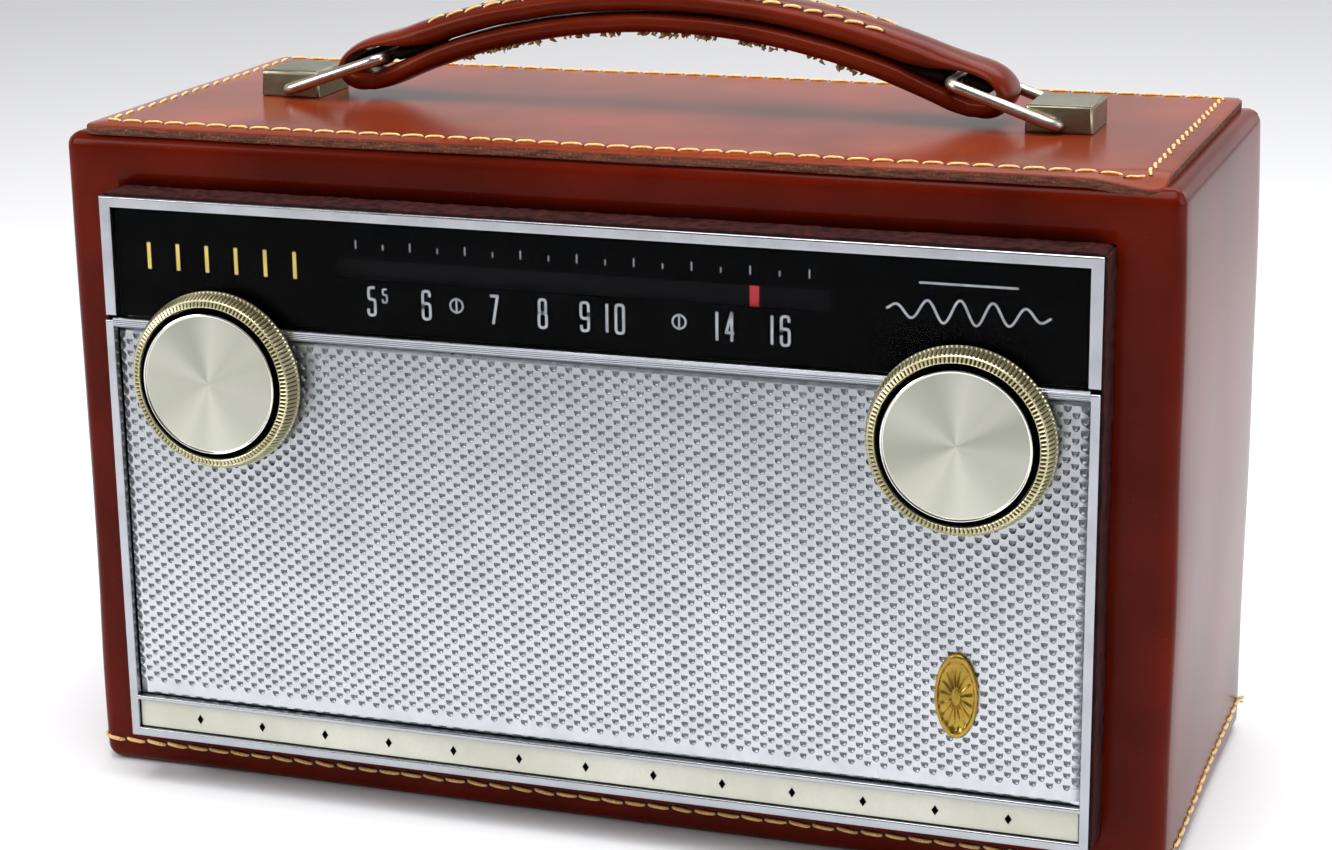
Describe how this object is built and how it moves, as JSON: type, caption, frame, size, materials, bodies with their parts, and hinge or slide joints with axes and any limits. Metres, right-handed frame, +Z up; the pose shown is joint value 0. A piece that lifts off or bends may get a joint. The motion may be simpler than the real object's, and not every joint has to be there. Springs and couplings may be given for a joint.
{
  "type": "portable radio",
  "caption": "Leather-cased portable radio with a slide-rule dial, embossed metal grille, two round knobs, an arched carrying handle on wire rings and a hinged back.",
  "frame": {"origin": "middle of the flat base, on the surface the radio stands on", "axes": "+X to the right seen from the front, -Y out of the dial and grille, +Z up"},
  "size_m": [0.2586, 0.1253, 0.1855],
  "materials": {
    "case_leather": "smooth polished cowhide",
    "strap_leather": "polished cowhide, folded over a filler",
    "cabinet_board": "dark fibreboard",
    "bottom_leather": "smooth cowhide",
    "cover_leather": "smooth polished cowhide on board",
    "bezel_chrome": "polished plating",
    "dial_glass": "clear, polished",
    "dial_black": "black enamel",
    "dial_grey": "dark grey matt",
    "pointer_red": "red enamel",
    "steel": "bright rolled",
    "zinc_plate": "zinc plated, satin",
    "nylon": "natural nylon",
    "cord": "braided dial cord",
    "drum_plastic": "moulded",
    "grille_aluminium": "bright embossed",
    "nameplate_enamel": "cream satin enamel",
    "badge_gold": "gilt",
    "knob_gold": "pale gilt, fluted",
    "knob_black": "black",
    "knob_spun": "spun, radial highlight",
    "vane_aluminium": "stamped",
    "speaker_steel": "grey crackle paint",
    "cone_paper": "pressed paper pulp",
    "magnet_iron": "plain",
    "board_phenolic": "brown laminate",
    "can_aluminium": "drawn",
    "laminations": "laminated core with wound coil",
    "transistor_can": "dark lacquer",
    "capacitor_sleeve": "blue sleeve",
    "resistor_carbon": "brown moulded",
    "ferrite": "sintered",
    "litz_wire": "silk-covered winding",
    "clip_rubber": "moulded",
    "tray_plastic": "moulded",
    "cell_jacket": "printed steel jacket",
    "spring_steel": "nickel plated",
    "bracket_nickel": "worn satin nickel",
    "ring_nickel": "worn nickel plate",
    "snap_nickel": "nickel plate"
  },
  "bodies": {
    "case": {"aerial_clips": "clip_rubber", "aerial_coils": "litz_wire", "audio_transformers": "laminations", "badge": "badge_gold", "battery_box": "tray_plastic", "battery_cells": "cell_jacket", "battery_contacts": "spring_steel", "board_posts": "zinc_plate", "bottom_panel": "bottom_leather", "bracket_screws": "steel", "capacitor_bracket": "zinc_plate", "chassis_plate": "zinc_plate", "circuit_board": "board_phenolic", "cord_posts": "nylon", "dial_backplate": "dial_grey", "dial_cord": "cord", "dial_glass": "dial_glass", "dial_mask": "dial_black", "electrolytic_capacitors": "capacitor_sleeve", "ferrite_rod": "ferrite", "front_panel_nuts": "steel", "grille_panel": "grille_aluminium", "handle_bracket_left": "bracket_nickel", "handle_bracket_right": "bracket_nickel", "if_transformers": "can_aluminium", "inner_cabinet": "cabinet_board", "leather_wrap": "case_leather", "lower_bezel": "bezel_chrome", "nameplate_strip": "nameplate_enamel", "pointer_rail": "steel", "resistors": "resistor_carbon", "shaft_bushings": "steel", "small_screws": "steel", "snap_studs": "snap_nickel", "speaker_cone": "cone_paper", "speaker_frame": "speaker_steel", "speaker_magnet": "magnet_iron", "top_panel": "case_leather", "transistors": "transistor_can", "tuning_capacitor_frame": "zinc_plate", "tuning_stator": "vane_aluminium", "upper_bezel": "bezel_chrome", "volume_control": "zinc_plate"},
    "tuning": {"tuning_knob_skirt": "knob_gold", "tuning_knob_insert": "knob_black", "tuning_knob_cap": "knob_spun", "tuning_shaft": "steel", "dial_drum": "drum_plastic", "tuning_rotor": "vane_aluminium"},
    "volume": {"volume_knob_skirt": "knob_gold", "volume_knob_insert": "knob_black", "volume_knob_cap": "knob_spun", "volume_shaft": "steel"},
    "pointer": {"dial_pointer": "pointer_red"},
    "cover": {"back_cover": "cover_leather", "snap_caps": "snap_nickel"},
    "handle": {"handle_strap_upper": "strap_leather", "handle_strap_lower": "strap_leather"},
    "ring_left": {"handle_ring_left": "ring_nickel"},
    "ring_right": {"handle_ring_right": "ring_nickel"}
  },
  "joints": [
    {"name": "tuning_turn", "type": "hinge", "parent": "case", "child": "tuning", "pos_m": [0.0863, -0.0641, 0.102], "axis": [0, 1, 0], "range_deg": [-158.5, 21.6]},
    {"name": "pointer_slide", "type": "slide", "parent": "case", "child": "pointer", "axis": [1, 0, 0], "range_m": [-0.0907, 0.01236]},
    {"name": "volume_turn", "type": "hinge", "parent": "case", "child": "volume", "pos_m": [-0.0863, -0.0641, 0.102], "axis": [0, 1, 0], "range_deg": [0, 300]},
    {"name": "back_cover_open", "type": "hinge", "parent": "case", "child": "cover", "pos_m": [0, 0.05235, 0.0062], "axis": [-1, 0, 0], "range_deg": [0, 88]},
    {"name": "handle_lift", "type": "slide", "parent": "case", "child": "handle", "axis": [0, 0, 1], "range_m": [0, 0.0125]},
    {"name": "ring_left_swing", "type": "hinge", "parent": "case", "child": "ring_left", "pos_m": [-0.0935, 0, 0.15875], "axis": [0, -1, 0], "range_deg": [0, 30.01]},
    {"name": "ring_right_swing", "type": "hinge", "parent": "case", "child": "ring_right", "pos_m": [0.0935, 0, 0.15875], "axis": [0, 1, 0], "range_deg": [0, 30.01]}
  ],
  "couplings": [
    {"joint": "pointer_slide", "follows": "tuning_turn", "m_per_rad": 0.032786},
    {"joint": "ring_left_swing", "follows": "handle_lift", "rad_per_m": 41.888},
    {"joint": "ring_right_swing", "follows": "handle_lift", "rad_per_m": 41.888}
  ]
}
